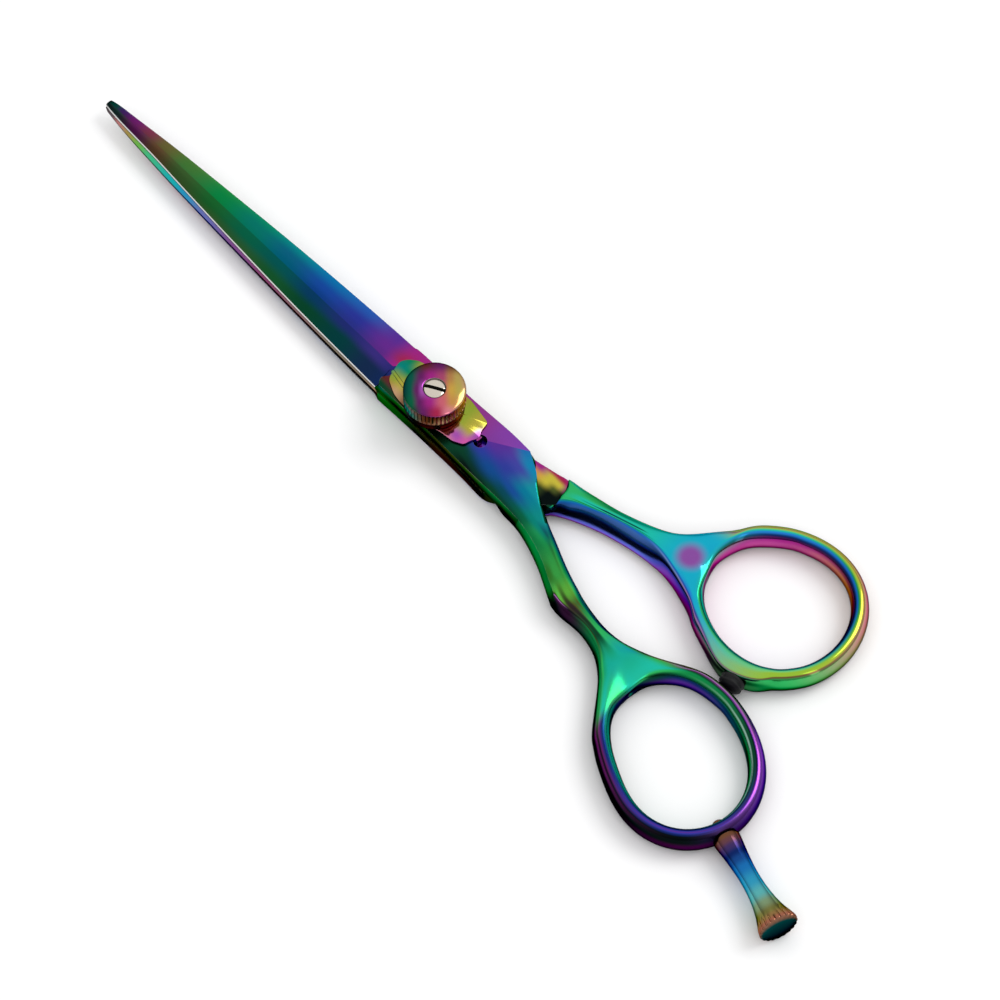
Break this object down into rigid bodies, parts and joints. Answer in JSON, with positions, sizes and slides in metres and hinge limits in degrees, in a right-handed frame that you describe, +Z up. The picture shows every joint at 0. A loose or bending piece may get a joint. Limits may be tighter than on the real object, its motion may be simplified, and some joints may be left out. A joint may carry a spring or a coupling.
{
  "type": "hairdressing thinning shears",
  "caption": "Offset hairdressing thinning shears with a plain blade over a toothed blade, two finger rings, a finger rest, a rubber stop and a knurled tension knob on the pivot.",
  "frame": {"origin": "on the pivot's axis, in the plane that the shears lie on (flat of the bolt's head and undersides of both rings)", "axes": "+X from the pivot to the blades' tips, +Z up along the pivot's axis to the tension knob, +Y towards the finger ring"},
  "size_m": [0.1821, 0.0568, 0.0103],
  "materials": {
    "coloured_steel": "polished, rainbow interference coating",
    "bare_steel": "polished",
    "bush_polymer": "matte",
    "black_rubber": "matte"
  },
  "bodies": {
    "upper": {"plain_half": "coloured_steel", "pivot_bolt": "bare_steel", "ride_washer": "bush_polymer", "tension_plate": "coloured_steel", "wave_washer": "bare_steel", "finger_rest": "coloured_steel"},
    "lower": {"toothed_half": "coloured_steel", "pivot_bush": "bush_polymer", "head_washer": "bare_steel", "bumper": "black_rubber"},
    "knob": {"tension_knob": "coloured_steel"}
  },
  "joints": [
    {"name": "blade_pivot", "type": "hinge", "parent": "upper", "child": "lower", "pos_m": [0, 0, 0], "axis": [0, 0, 1], "range_deg": [0, 75]},
    {"name": "knob_turn", "type": "hinge", "parent": "upper", "child": "knob", "pos_m": [0, 0, 0], "axis": [0, 0, 1], "range_deg": [-45, 180]}
  ]
}
